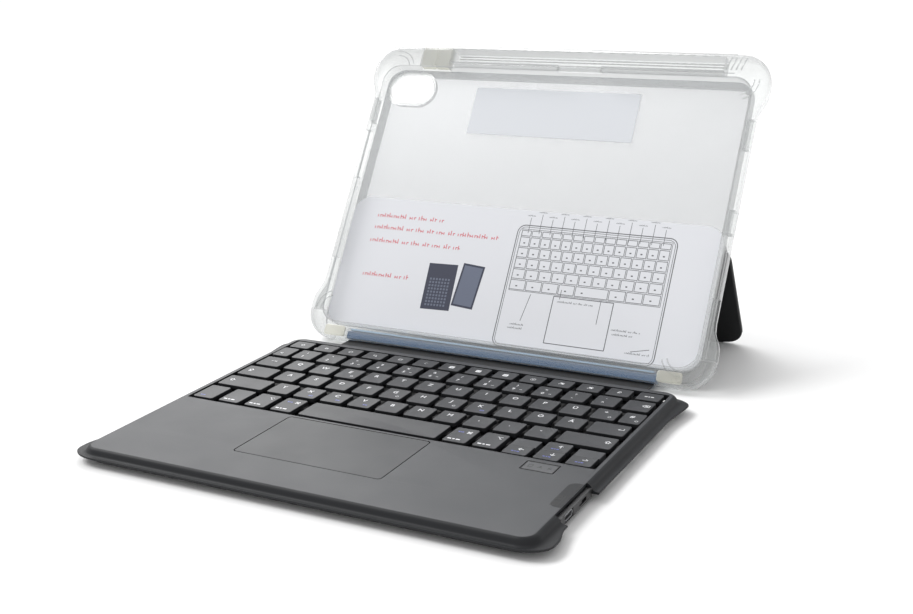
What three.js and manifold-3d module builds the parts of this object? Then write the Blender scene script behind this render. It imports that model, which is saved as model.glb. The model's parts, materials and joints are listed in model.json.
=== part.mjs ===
// Tablet keyboard case: a clear bumper case that leans back on a full-width kickstand, and a
// thin keyboard that docks in a channel in the case's lower edge on a soft hinge.
// Millimetres, +X to the right, +Y to the back, +Z up. z = 0 is the table.
import * as THREE from 'three';
import { mergeVertices } from 'three/addons/utils/BufferGeometryUtils.js';
import Module from 'manifold-3d';

const wasm = await Module();
wasm.setup();

// ---------------------------------------------------------------- driving dimensions
const GAP = 0.3;                  // clearance between neighbouring pieces
const ORIGIN_Y = 21.16;           // moves the keyboard's own zero line, the key well's rear edge

// Case, in its own axes: x across, y up along the case, z towards the user
const CASE_LEAN = THREE.MathUtils.degToRad(57);
const CASE_ZERO = { y: 24.7, z: 3.5 };
const CASE = { bottom: 2.1, top: 206.8, side: 128.7, bumper: 133.5, depth: 12.5, edge: 4, corner: 18 };
const BUMPER_RUN = { full: 22, blended: 40 };
const TABLET = { side: 124.5, bottom: 12, top: 192, corner: 12, front: -1.2, back: -8.4 };
const LIP = 1;                    // overhang of the soft lip that holds the tablet
const PANEL = { front: -8.4, back: -10 };
const LEDGE = { side: 120.5, top: 188, bottom: 95 };
const CAMERA = { x: -105.5, y: 178.4, length: 32, height: 20.5, wall: 1.7, back: -11.8 };
const PEN = { left: -77.5, right: 105, bottom: 195.2, top: 204.4, depth: 9.8 };
const PEN_NOTCH = { left: -1, right: 28, depth: 4 };
const BUTTON_DEPTH = { front: -2.8, back: -8.7 };
const VOLUME_X = [-95.3, -84.7];
const VOLUME_WIDTH = 10;
const POWER = { bottom: 152, top: 168 };
const USB_WINDOW = { bottom: 95, top: 109, front: -1.9, back: -8.1 };
const SPEAKER_SLOTS = { front: -3, back: -6.6, right: [[20, 56], [147, 166]], left: [[20, 56], [112, 145]] };
const CARD = { side: 123.8, bottom: 12.7, top: 100, corner: 11, back: -8.1, front: -7.7 };
const LABEL = { x: -1, y: 165, width: 112, height: 32, back: -8.1, front: -7.8 };

// Dock channel in the lower edge, and the bar that sits in it
const CHANNEL = { side: 102.3, top: 9.9, front: -2.2, back: -8.8 };
const BAR = { side: 101.9, bottom: 3.3, top: 8, front: -2.5, back: -8.5 };
const MAGNET = { side: 95.7, bottom: 6.5, top: 7.9, front: -4.1, back: -6.9 };

// Kickstand, hinged on the case's back
const HINGE = { y: 92.5, z: -12.3 };
const KICK_OPEN = THREE.MathUtils.degToRad(63.2);
const LEG = { side: 125, top: -3, bottom: -84.9, front: 1.4, back: -1.6, corner: 12, topInset: 2.2, edge: 0.6 };
const FOOT_STRIP = { side: 112, top: -83.4, bottom: -85.87 };
const KNUCKLE = { x: 70, radius: 2, bore: 0.95, pin: 0.75, fixed: 4, outer: 10 };
const LEAF = { back: -1.9, front: -1, neckFoot: 0.4, neckTop: 4, bottom: 3.5, top: 6.8 };
const BASE_STRIP = { side: 110, bottom: 2.6, top: 6.9, front: 2, back: -0.7 };

// Keyboard, with y = 0 near the key well's rear edge
const DECK = { side: 124.2, rear: 8.5, front: -187, top: 9, under: 7, corner: 9, edge: 3.2 };
const FLANGE = { side: 128, lobe: 130.6, rear: 6.5, front: -188.6, bottom: 4, top: 5.2, corner: 12 };
const LOBE_RUN = { full: 14, blended: 26 };
const TRAY = { side: 121.5, rear: 5, front: -184.2, bottom: 1.2, floor: 2.2, top: 3.7, corner: 8 };
const WELL = { side: 119.8, rear: 1.6, front: -106.4 };
const TOUCHPAD = { x: -8.5, y: -133.35, width: 83.7, depth: 49.5, top: 9, bottom: 7.95, corner: 2 };
const INDICATOR = { left: 87, right: 103.5, front: -119.4, rear: -110 };
const PORT = { front: -158.6, rear: -122.4, bottom: 2.7, top: 7.1, inner: 122.1, outer: 124.5 };
const USB = { y: -149, z: 5, width: 8.9, height: 3.2, wall: 0.35 };
const SWITCH = { y: -135.1, z: 5, width: 3, slotFront: -137, slotRear: -129 };
const FEET = { x: 105, rear: -8, front: -172, radius: 6, height: 0.9 };

// Keys
const KEY = { top: 9.4, bottom: 7.2, web: 6.6, radius: 1.2, span: 117.7 };
const LETTER = { pitch: 17.3, gap: 3.6 };
const ROW_GAP = 3.3;
const ROW_DEPTHS = [8.7, 14.8, 14.8, 14.8, 14.8, 18.6];
const FIRST_ROW_REAR = -1.6;
const HALF_KEY_DEPTH = 8.4;

// Soft hinge between keyboard and dock bar
const FOLD = { y: 14, z: 3, clear: 1, side: 101, thick: 0.8 };
const FLAP_UNDERSIDE = [[27, 2.2], [32.1, 1.2]];
const FLAP_UPPER_SIDE = [[32.55, 1.95], [28.9, 4.3], [27.6, 3]];

// Pieces inside the keyboard
const SUPPORT_PLATE = { side: 120.2, bottom: 4.1, top: 4.6 };
const DOME_SHEET = { side: 119, bottom: 4.9, top: 5.1 };
const BOARD = { left: 84, right: 118.5, front: -168, rear: -118, bottom: 2.5, top: 3.1 };
const BATTERY = { left: [-117, -60], right: [42, 80], front: -180, rear: -114, bottom: 2.5, top: 4.9 };
const TOUCHPAD_FRAME = { left: -55, right: 38, front: -163, rear: -109, bottom: 5.7, top: 6.7 };
const SWITCH_HOUSING = { left: 115, right: 121.7, front: -138, rear: -128, bottom: 3.4, top: 6.6 };
const SLIDER = { left: 122.1, right: 124.3, halfHeight: 0.6 };

// ---------------------------------------------------------------- geometry helpers
function box(x0, x1, y0, y1, z0, z1) {
  const geometry = new THREE.BoxGeometry(x1 - x0, y1 - y0, z1 - z0);
  return geometry.translate((x0 + x1) / 2, (y0 + y1) / 2, (z0 + z1) / 2);
}

function roundedRect(x0, y0, x1, y1, r) {
  const shape = new THREE.Shape();
  shape.moveTo(x0 + r, y0);
  shape.lineTo(x1 - r, y0);
  shape.absarc(x1 - r, y0 + r, r, -Math.PI / 2, 0);
  shape.lineTo(x1, y1 - r);
  shape.absarc(x1 - r, y1 - r, r, 0, Math.PI / 2);
  shape.lineTo(x0 + r, y1);
  shape.absarc(x0 + r, y1 - r, r, Math.PI / 2, Math.PI);
  shape.lineTo(x0, y0 + r);
  shape.absarc(x0 + r, y0 + r, r, Math.PI, 1.5 * Math.PI);
  return shape;
}

// A plate of the given outline between two heights, its edges rounded where edge is given
function plate(shape, z0, z1, edge = 0, curveSegments = 5, edgeSteps = 2) {
  const geometry = new THREE.ExtrudeGeometry(shape, {
    depth: z1 - z0 - 2 * edge,
    bevelEnabled: edge > 0,
    bevelThickness: edge,
    bevelSize: edge,
    bevelOffset: -edge,
    bevelSegments: edgeSteps,
    curveSegments,
  });
  return geometry.translate(0, 0, z0 + edge);
}

// A section drawn in (y, z), run along x
function beam(shape, x0, x1, curveSegments = 4) {
  const geometry = new THREE.ExtrudeGeometry(shape, { depth: x1 - x0, bevelEnabled: false, curveSegments });
  const axes = new THREE.Matrix4().makeBasis(
    new THREE.Vector3(0, 1, 0),
    new THREE.Vector3(0, 0, 1),
    new THREE.Vector3(1, 0, 0),
  );
  return geometry.applyMatrix4(axes).translate(x0, 0, 0);
}

function rodAlongX(radius, x0, x1, segments = 16) {
  const geometry = new THREE.CylinderGeometry(radius, radius, x1 - x0, segments);
  return geometry.rotateZ(Math.PI / 2).translate((x0 + x1) / 2, 0, 0);
}

function toSolid(geometry) {
  const bare = geometry.clone();
  bare.deleteAttribute('normal');
  bare.deleteAttribute('uv');
  const merged = mergeVertices(bare, 1e-4);
  return new wasm.Manifold(new wasm.Mesh({
    numProp: 3,
    vertProperties: merged.attributes.position.array,
    triVerts: merged.index.array,
  }));
}

function toGeometry(solid) {
  const mesh = solid.getMesh();
  const geometry = new THREE.BufferGeometry();
  geometry.setAttribute('position', new THREE.BufferAttribute(mesh.vertProperties, 3));
  geometry.setIndex(new THREE.BufferAttribute(mesh.triVerts, 1));
  geometry.computeVertexNormals();
  return geometry;
}

function join(...geometries) {
  const solids = geometries.map(toSolid);
  return toGeometry(solids.reduce((sum, solid) => sum.add(solid)));
}

function cut(base, ...tools) {
  const solids = tools.map(toSolid);
  return toGeometry(solids.reduce((rest, tool) => rest.subtract(tool), toSolid(base)));
}

function piece(group, name, geometry, color, roughness, metalness = 0, opacity = 1) {
  const material = new THREE.MeshStandardMaterial({ color, roughness, metalness });
  material.transparent = opacity < 1;
  material.opacity = opacity;
  const mesh = new THREE.Mesh(geometry, material);
  mesh.name = name;
  group.add(mesh);
}

const CLEAR_SOFT = 0xe9eceb;
const CLEAR_HARD = 0xe8eaec;
const SOFT_GREY = 0x6e7073;
const BLACK = 0x18191b;
const STEEL = 0xb4b8bd;

// A rounded outline that is wider by its four corners: bumpers on the case, lobes on the flange
function corneredOutline(side, corner, y0, y1, radius, run) {
  const shape = new THREE.Shape();
  const bend = (run.blended - run.full) / 2;
  shape.moveTo(-corner + radius, y0);
  shape.lineTo(corner - radius, y0);
  shape.absarc(corner - radius, y0 + radius, radius, -Math.PI / 2, 0);
  shape.lineTo(corner, y0 + run.full);
  shape.bezierCurveTo(corner, y0 + run.full + bend, side, y0 + run.blended - bend, side, y0 + run.blended);
  shape.lineTo(side, y1 - run.blended);
  shape.bezierCurveTo(side, y1 - run.blended + bend, corner, y1 - run.full - bend, corner, y1 - run.full);
  shape.lineTo(corner, y1 - radius);
  shape.absarc(corner - radius, y1 - radius, radius, 0, Math.PI / 2);
  shape.lineTo(-corner + radius, y1);
  shape.absarc(-corner + radius, y1 - radius, radius, Math.PI / 2, Math.PI);
  shape.lineTo(-corner, y1 - run.full);
  shape.bezierCurveTo(-corner, y1 - run.full - bend, -side, y1 - run.blended + bend, -side, y1 - run.blended);
  shape.lineTo(-side, y0 + run.blended);
  shape.bezierCurveTo(-side, y0 + run.blended - bend, -corner, y0 + run.full + bend, -corner, y0 + run.full);
  shape.lineTo(-corner, y0 + radius);
  shape.absarc(-corner + radius, y0 + radius, radius, Math.PI, 1.5 * Math.PI);
  return shape;
}

function pill(grow) {
  const halfLength = CAMERA.length / 2 + grow;
  const halfHeight = CAMERA.height / 2 + grow;
  return roundedRect(
    CAMERA.x - halfLength, CAMERA.y - halfHeight, CAMERA.x + halfLength, CAMERA.y + halfHeight, halfHeight - 0.01,
  );
}

// ---------------------------------------------------------------- clear case
function bumperFrame() {
  const outline = corneredOutline(CASE.side, CASE.bumper, CASE.bottom, CASE.top, CASE.corner, BUMPER_RUN);
  const body = plate(outline, -CASE.depth, 0, CASE.edge, 5, 3);
  const s = TABLET.side;
  const lipOpening = roundedRect(-s + LIP, TABLET.bottom + LIP, s - LIP, TABLET.top - LIP, TABLET.corner - LIP);
  const cavity = roundedRect(-s, TABLET.bottom, s, TABLET.top, TABLET.corner);
  const legSide = LEG.side + 0.4;
  const legRecess = roundedRect(-legSide, 6, legSide, LEDGE.bottom, LEG.corner);
  const rearWindow = roundedRect(-LEDGE.side, LEDGE.bottom - 8, LEDGE.side, LEDGE.top, 8);
  const behind = -CASE.depth - 1;
  const pocketSide = VOLUME_WIDTH / 2 + 0.25;
  const buttonFront = BUTTON_DEPTH.front + GAP;
  const buttonBack = BUTTON_DEPTH.back - GAP;
  const slots = [
    ...SPEAKER_SLOTS.right.map(([y0, y1]) => box(123, 135, y0, y1, SPEAKER_SLOTS.back, SPEAKER_SLOTS.front)),
    ...SPEAKER_SLOTS.left.map(([y0, y1]) => box(-135, -123, y0, y1, SPEAKER_SLOTS.back, SPEAKER_SLOTS.front)),
  ];
  return cut(
    body,
    plate(lipOpening, TABLET.front - 1, 1),
    plate(cavity, PANEL.back - GAP, TABLET.front),
    plate(legRecess, behind, PANEL.back - 0.2),
    plate(rearWindow, behind, PANEL.back - 0.2),
    plate(pill(CAMERA.wall + GAP), behind, PANEL.back),
    box(PEN.left, PEN.right, PEN.bottom, PEN.top, -PEN.depth, 1),
    box(PEN_NOTCH.left, PEN_NOTCH.right, TABLET.top - 2, PEN.bottom + 1, -PEN_NOTCH.depth, 1),
    box(VOLUME_X[0] - pocketSide, VOLUME_X[1] + pocketSide, TABLET.top - 1, CASE.top + 1, buttonBack, buttonFront),
    box(-CASE.side - 2, -s + 1, POWER.bottom - GAP, POWER.top + GAP, buttonBack, buttonFront),
    box(s - 1, CASE.side + 2, USB_WINDOW.bottom, USB_WINDOW.top, USB_WINDOW.back, USB_WINDOW.front),
    ...slots,
    box(-CHANNEL.side, CHANNEL.side, 0, CHANNEL.top, CHANNEL.back, CHANNEL.front),
  );
}

function backPanel() {
  const s = TABLET.side - GAP;
  const outline = roundedRect(-s, TABLET.bottom + GAP, s, TABLET.top - GAP, TABLET.corner - GAP);
  return cut(plate(outline, PANEL.back, PANEL.front), plate(pill(CAMERA.wall + GAP), PANEL.back - 1, 0));
}

function cameraRing() {
  return cut(
    plate(pill(CAMERA.wall), CAMERA.back, PANEL.front),
    plate(pill(0), CAMERA.back - 1, 0),
  );
}

function dockBar() {
  return cut(
    box(-BAR.side, BAR.side, BAR.bottom, BAR.top, BAR.back, BAR.front),
    box(-MAGNET.side - GAP, MAGNET.side + GAP, MAGNET.bottom - GAP, BAR.top + 1, MAGNET.back - GAP, MAGNET.front + GAP),
  );
}

function buildCase() {
  const group = new THREE.Group();
  group.position.set(0, ORIGIN_Y + CASE_ZERO.y, CASE_ZERO.z);
  group.rotation.x = CASE_LEAN;
  piece(group, 'bumper_frame', bumperFrame(), CLEAR_SOFT, 0.25, 0, 0.5);
  piece(group, 'back_panel', backPanel(), CLEAR_HARD, 0.15, 0, 0.5);
  piece(group, 'camera_ring', cameraRing(), CLEAR_SOFT, 0.25, 0, 0.5);
  const card = roundedRect(-CARD.side, CARD.bottom, CARD.side, CARD.top, CARD.corner);
  piece(group, 'info_card', plate(card, CARD.back, CARD.front, 0, 4), 0xdcdddf, 0.6);
  const label = box(
    LABEL.x - LABEL.width / 2, LABEL.x + LABEL.width / 2,
    LABEL.y - LABEL.height / 2, LABEL.y + LABEL.height / 2, LABEL.back, LABEL.front,
  );
  piece(group, 'name_label', label, 0xdfe2e6, 0.5);
  const steel = box(-100, 100, BAR.top + 0.4, CHANNEL.top - GAP, BAR.back, BAR.front);
  piece(group, 'dock_steel_strip', steel, STEEL, 0.35, 0.9);
  VOLUME_X.forEach((x, i) => {
    const cover = box(
      x - VOLUME_WIDTH / 2, x + VOLUME_WIDTH / 2,
      TABLET.top + 0.7, CASE.top - 0.2, BUTTON_DEPTH.back, BUTTON_DEPTH.front,
    );
    piece(group, i ? 'volume_down_cover' : 'volume_up_cover', cover, 0xe6e4d2, 0.3, 0, 0.6);
  });
  const power = box(
    -CASE.side + 0.2, -TABLET.side - 0.7, POWER.bottom, POWER.top, BUTTON_DEPTH.back, BUTTON_DEPTH.front,
  );
  piece(group, 'power_button_cover', power, CLEAR_SOFT, 0.3, 0, 0.6);
  piece(group, 'dock_bar', dockBar(), 0x3c4b5d, 0.4);
  const magnet = box(-MAGNET.side, MAGNET.side, MAGNET.bottom, MAGNET.top, MAGNET.back, MAGNET.front);
  piece(group, 'bar_magnet_strip', magnet, 0x8a8f96, 0.4, 0.8);
  group.add(buildKickstandHinge());
  return group;
}

// ---------------------------------------------------------------- kickstand
function hingeLeaf(x) {
  const half = KNUCKLE.fixed;
  return cut(
    join(
      rodAlongX(KNUCKLE.radius, x - half, x + half),
      box(x - half, x + half, LEAF.neckFoot, LEAF.neckTop, LEAF.back, LEAF.front),
      box(x - 2 * half, x + 2 * half, LEAF.bottom, LEAF.top, LEAF.back, LEAF.front),
    ),
    rodAlongX(KNUCKLE.bore, x - half - 1, x + half + 1),
  );
}

function kickstandLeg() {
  const outline = roundedRect(-LEG.side, LEG.bottom, LEG.side, LEG.top, LEG.corner);
  const topHalf = LEG.side - LEG.topInset;
  const squareTop = box(-topHalf, topHalf, LEG.top - LEG.corner, LEG.top, LEG.back + 0.4, LEG.front - 0.4);
  const notchHalf = KNUCKLE.fixed + 0.6;
  let leg = join(plate(outline, LEG.back, LEG.front, LEG.edge, 4, 1), squareTop);
  for (const x of [-KNUCKLE.x, KNUCKLE.x]) {
    const sides = [
      [x - KNUCKLE.outer, x - KNUCKLE.fixed - GAP],
      [x + KNUCKLE.fixed + GAP, x + KNUCKLE.outer],
    ];
    for (const [x0, x1] of sides) {
      leg = join(leg, rodAlongX(KNUCKLE.radius, x0, x1), box(x0, x1, LEG.top - 1, 0, LEG.back, LEG.front));
    }
    leg = cut(
      leg,
      box(x - notchHalf, x + notchHalf, LEG.top - 5, LEG.top + 1, LEG.back - 1, LEG.front + 1),
      rodAlongX(KNUCKLE.bore, x - KNUCKLE.outer - 1, x + KNUCKLE.outer + 1),
    );
  }
  const stripHalf = FOOT_STRIP.side + GAP;
  return cut(leg, box(-stripHalf, stripHalf, LEG.bottom - 2, FOOT_STRIP.top + GAP, LEG.back - 1, LEG.front + 1));
}

function footStrip() {
  const section = roundedRect(FOOT_STRIP.bottom, LEG.back + 0.2, FOOT_STRIP.top, LEG.front - 0.2, 1.2);
  return beam(section, -FOOT_STRIP.side, FOOT_STRIP.side);
}

function buildKickstandHinge() {
  const hinge = new THREE.Group();
  hinge.position.set(0, HINGE.y, HINGE.z);
  const b = BASE_STRIP;
  piece(hinge, 'kickstand_base', box(-b.side, b.side, b.bottom, b.top, b.back, b.front), BLACK, 0.6);
  for (const [side, x] of [['left', -KNUCKLE.x], ['right', KNUCKLE.x]]) {
    piece(hinge, `hinge_leaf_${side}`, hingeLeaf(x), STEEL, 0.35, 0.9);
    const pin = rodAlongX(KNUCKLE.pin, x - KNUCKLE.outer, x + KNUCKLE.outer, 12);
    piece(hinge, `hinge_pin_${side}`, pin, STEEL, 0.3, 0.9);
  }
  const leg = new THREE.Group();
  leg.rotation.x = KICK_OPEN;
  piece(leg, 'kickstand_leg', kickstandLeg(), BLACK, 0.6);
  piece(leg, 'kickstand_foot_strip', footStrip(), BLACK, 0.9);
  hinge.add(leg);
  return hinge;
}

// ---------------------------------------------------------------- key layout
function rowEdges(row) {
  const before = ROW_DEPTHS.slice(0, row).reduce((sum, depth) => sum + depth + ROW_GAP, 0);
  const rear = FIRST_ROW_REAR - before;
  return { rear, front: rear - ROW_DEPTHS[row] };
}

// Spans of one row's keys: a first key, a run of equal keys, and a last key that fills the row
function rowSpans(firstStart, count) {
  const spans = [[-KEY.span, firstStart - LETTER.gap]];
  for (let i = 0; i < count; i += 1) {
    const x = firstStart + i * LETTER.pitch;
    spans.push([x, x + LETTER.pitch - LETTER.gap]);
  }
  spans.push([firstStart + count * LETTER.pitch, KEY.span]);
  return spans;
}

function keycap([x0, x1], front, rear) {
  return plate(roundedRect(x0, front, x1, rear, KEY.radius), KEY.bottom, KEY.top, 0, 1);
}

// A run of keycaps on the thin web that ties them underneath
function keyRow(spans, front, rear) {
  const middle = (front + rear) / 2;
  const web = box(spans[0][0] + 2, spans.at(-1)[1] - 2, middle - 3, middle + 3, KEY.web, KEY.bottom + 0.1);
  return join(web, ...spans.map((span) => keycap(span, front, rear)));
}

const FUNCTION_PITCH = (2 * KEY.span + LETTER.gap) / 14;
const functionSpans = Array.from({ length: 14 }, (_, i) => {
  const x = -KEY.span + i * FUNCTION_PITCH;
  return [x, x + FUNCTION_PITCH - LETTER.gap];
});
const LETTER_ROWS = [
  { row: 1, start: -105, count: 12, name: 'number_row_keys', first: null, last: 'backspace_key' },
  { row: 2, start: -98.2, count: 12, name: 'top_letter_keys', first: 'tab_key', last: null },
  { row: 3, start: -92.7, count: 11, name: 'home_letter_keys', first: 'caps_lock_key', last: 'enter_key' },
  { row: 4, start: -84.2, count: 10, name: 'bottom_letter_keys', first: 'left_shift_key', last: 'right_shift_key' },
];
const BOTTOM_WIDTH = 13.2;
const BOTTOM_LEFT = { start: -KEY.span, pitch: 17, names: ['fn_key', 'control_key', 'left_option_key', 'left_command_key'] };
const BOTTOM_RIGHT = { start: 37, pitch: 16.7, names: ['right_command_key', 'right_option_key'] };
const SPACE = [-48.9, 33.4];
const ARROWS = { left: 70.4, middle: 87, right: 103.8, width: 13.4 };

function buildKeys(group) {
  const color = 0x5d6066;
  const add = (name, geometry) => piece(group, name, geometry, color, 0.55);
  const top = rowEdges(0);
  add('function_row_keys', keyRow(functionSpans, top.front, top.rear));
  for (const { row, start, count, name, first, last } of LETTER_ROWS) {
    const { front, rear } = rowEdges(row);
    const spans = rowSpans(start, count);
    const from = first ? 1 : 0;
    const to = last ? spans.length - 1 : spans.length;
    add(name, keyRow(spans.slice(from, to), front, rear));
    if (first) add(first, keycap(spans[0], front, rear));
    if (last) add(last, keycap(spans.at(-1), front, rear));
  }
  const { front, rear } = rowEdges(5);
  for (const { start, pitch, names } of [BOTTOM_LEFT, BOTTOM_RIGHT]) {
    names.forEach((name, i) => {
      const x = start + i * pitch;
      add(name, keycap([x, x + BOTTOM_WIDTH], front, rear));
    });
  }
  add('space_key', keycap(SPACE, front, rear));
  const arrow = (x) => [x, x + ARROWS.width];
  const halfRear = front + HALF_KEY_DEPTH;
  add('left_arrow_key', keycap(arrow(ARROWS.left), front, halfRear));
  add('down_arrow_key', keycap(arrow(ARROWS.middle), front, halfRear));
  add('right_arrow_key', keycap(arrow(ARROWS.right), front, halfRear));
  add('up_arrow_key', keycap(arrow(ARROWS.middle), rear - HALF_KEY_DEPTH, rear));
}

// Fixed blocks at deck level that fill the space behind the left and right arrow keys
function fillerBlocks(z0, z1, grow = 0) {
  const { rear } = rowEdges(5);
  return [ARROWS.left, ARROWS.right].map((x) => box(
    x - grow, x + ARROWS.width + grow, rear - HALF_KEY_DEPTH - grow, rear + grow, z0, z1,
  ));
}

// ---------------------------------------------------------------- keyboard body
function deckCover() {
  const rolled = roundedRect(-DECK.side, DECK.front, DECK.side, DECK.rear, DECK.corner);
  const flange = corneredOutline(FLANGE.side, FLANGE.lobe, FLANGE.front, FLANGE.rear, FLANGE.corner, LOBE_RUN);
  const shell = join(
    cut(plate(rolled, DECK.top - 7.2, DECK.top, DECK.edge), box(-140, 140, -200, 20, 0, FLANGE.bottom)),
    plate(flange, FLANGE.bottom, FLANGE.top),
  );
  const t = TOUCHPAD;
  const halfWidth = t.width / 2 + GAP;
  const halfDepth = t.depth / 2 + GAP;
  const touchpadHole = roundedRect(t.x - halfWidth, t.y - halfDepth, t.x + halfWidth, t.y + halfDepth, t.corner + GAP);
  const inside = roundedRect(-TRAY.side - GAP, TRAY.front - GAP, TRAY.side + GAP, 6, TRAY.corner);
  const i = INDICATOR;
  return cut(
    shell,
    plate(inside, FLANGE.bottom - 1, DECK.under, 0, 4),
    box(-WELL.side, WELL.side, WELL.front, WELL.rear, DECK.under - 1, DECK.top + 1),
    plate(touchpadHole, DECK.under - 1, DECK.top + 1, 0, 3),
    box(i.left - GAP, i.right + GAP, i.front - GAP, i.rear + GAP, DECK.top - 0.6, DECK.top + 1),
    box(TRAY.side, 140, PORT.front - GAP, PORT.rear + GAP, FLANGE.bottom - 1, PORT.top + GAP),
    box(PORT.outer + 0.1, 140, PORT.front - GAP, PORT.rear + GAP, FLANGE.bottom - 1, DECK.top + 1),
  );
}

function bottomCover() {
  const outer = roundedRect(-TRAY.side, TRAY.front, TRAY.side, TRAY.rear, TRAY.corner);
  const w = 1.2;
  const inner = roundedRect(-TRAY.side + w, TRAY.front + w, TRAY.side - w, TRAY.rear - w, TRAY.corner - w);
  return cut(
    plate(outer, TRAY.bottom, TRAY.top, 0, 4),
    plate(inner, TRAY.floor, TRAY.top + 1, 0, 4),
    box(TRAY.side - 2, TRAY.side + 2, PORT.front - 1, PORT.rear + 1, TRAY.floor + 0.1, TRAY.top + 1),
  );
}

function portBezel() {
  const p = PORT;
  const holeY = USB.width / 2 + GAP;
  const holeZ = USB.height / 2 + GAP;
  return cut(
    box(p.inner, p.outer, p.front, p.rear, p.bottom, p.top),
    box(p.inner - 1, p.outer + 1, USB.y - holeY, USB.y + holeY, USB.z - holeZ, USB.z + holeZ),
    box(p.inner - 1, p.outer + 1, SWITCH.slotFront, SWITCH.slotRear, SWITCH.z - 1, SWITCH.z + 1),
  );
}

function usbSocket() {
  const section = (inset) => {
    const w = USB.width / 2 - inset;
    const h = USB.height / 2 - inset;
    return roundedRect(USB.y - w, USB.z - h, USB.y + w, USB.z + h, h - 0.01);
  };
  return cut(beam(section(0), 117, 124.2), beam(section(USB.wall), 118, 125));
}

function flapFront() {
  const half = FOLD.thick / 2;
  return box(-FOLD.side, FOLD.side, TRAY.rear + GAP, FOLD.y - FOLD.clear, FOLD.z - half, FOLD.z + half);
}

// The rear half runs under the case's front wall and up against the dock bar's underside
function flapRear() {
  const start = FOLD.y + FOLD.clear;
  const section = new THREE.Shape();
  section.moveTo(start, FOLD.z - FOLD.thick / 2);
  FLAP_UNDERSIDE.forEach(([y, z]) => section.lineTo(y, z));
  FLAP_UPPER_SIDE.forEach(([y, z]) => section.lineTo(y, z));
  section.lineTo(start, FOLD.z + FOLD.thick / 2);
  return beam(section, -FOLD.side, FOLD.side);
}

function buildKeyboard() {
  const group = new THREE.Group();
  group.position.set(0, ORIGIN_Y, 0);
  piece(group, 'deck_cover', deckCover(), SOFT_GREY, 0.7);
  piece(group, 'bottom_cover', bottomCover(), 0x4a4c4f, 0.7);
  const sp = SUPPORT_PLATE;
  const supportPlate = box(-sp.side, sp.side, WELL.front - 1.4, WELL.rear + 0.4, sp.bottom, sp.top);
  piece(group, 'key_support_plate', join(supportPlate, ...fillerBlocks(sp.top - 0.1, DECK.top)), BLACK, 0.6);
  const ds = DOME_SHEET;
  const domes = box(-ds.side, ds.side, WELL.front + 0.4, WELL.rear - 0.6, ds.bottom, ds.top);
  piece(group, 'dome_sheet', cut(domes, ...fillerBlocks(ds.bottom - 1, ds.top + 1, GAP)), 0x2b2c2e, 0.8);
  const inner = (part, [x0, x1] = [part.left, part.right]) => box(
    x0, x1, part.front, part.rear, part.bottom, part.top,
  );
  piece(group, 'main_board', inner(BOARD), 0x1d5138, 0.5);
  piece(group, 'battery_left', inner(BATTERY, BATTERY.left), 0x9aa0a8, 0.5, 0.3);
  piece(group, 'battery_right', inner(BATTERY, BATTERY.right), 0x9aa0a8, 0.5, 0.3);
  piece(group, 'touchpad_frame', inner(TOUCHPAD_FRAME), BLACK, 0.6);
  const t = TOUCHPAD;
  const pad = roundedRect(t.x - t.width / 2, t.y - t.depth / 2, t.x + t.width / 2, t.y + t.depth / 2, t.corner);
  piece(group, 'touchpad_plate', plate(pad, t.bottom, t.top, 0, 3), 0x7b7d80, 0.45);
  const i = INDICATOR;
  piece(group, 'indicator_window', box(i.left, i.right, i.front, i.rear, DECK.top - GAP, DECK.top), 0x66686c, 0.3);
  piece(group, 'port_bezel', portBezel(), BLACK, 0.5);
  piece(group, 'usb_c_socket', usbSocket(), STEEL, 0.35, 0.9);
  piece(group, 'power_switch_housing', inner(SWITCH_HOUSING), BLACK, 0.5);
  const s = SWITCH;
  const high = SLIDER.halfHeight;
  const slider = box(SLIDER.left, SLIDER.right, s.y - s.width / 2, s.y + s.width / 2, s.z - high, s.z + high);
  piece(group, 'power_slider', slider, 0x2a2b2d, 0.5);
  for (const [side, x] of [['left', -FEET.x], ['right', FEET.x]]) {
    for (const [end, y] of [['rear', FEET.rear], ['front', FEET.front]]) {
      const foot = new THREE.CylinderGeometry(FEET.radius, FEET.radius, FEET.height, 16);
      foot.rotateX(Math.PI / 2).translate(x, y, FEET.height / 2);
      piece(group, `foot_${end}_${side}`, foot, BLACK, 0.9);
    }
  }
  piece(group, 'flap_front', flapFront(), SOFT_GREY, 0.8);
  piece(group, 'flap_rear', flapRear(), SOFT_GREY, 0.8);
  buildKeys(group);
  return group;
}

const tabletKeyboardCase = new THREE.Group();
tabletKeyboardCase.add(buildCase(), buildKeyboard());

export default tabletKeyboardCase;
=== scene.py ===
"""Looks of the tablet keyboard case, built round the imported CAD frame."""

import json
import math

import bmesh
import bpy
from mathutils import Matrix, Vector

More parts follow.
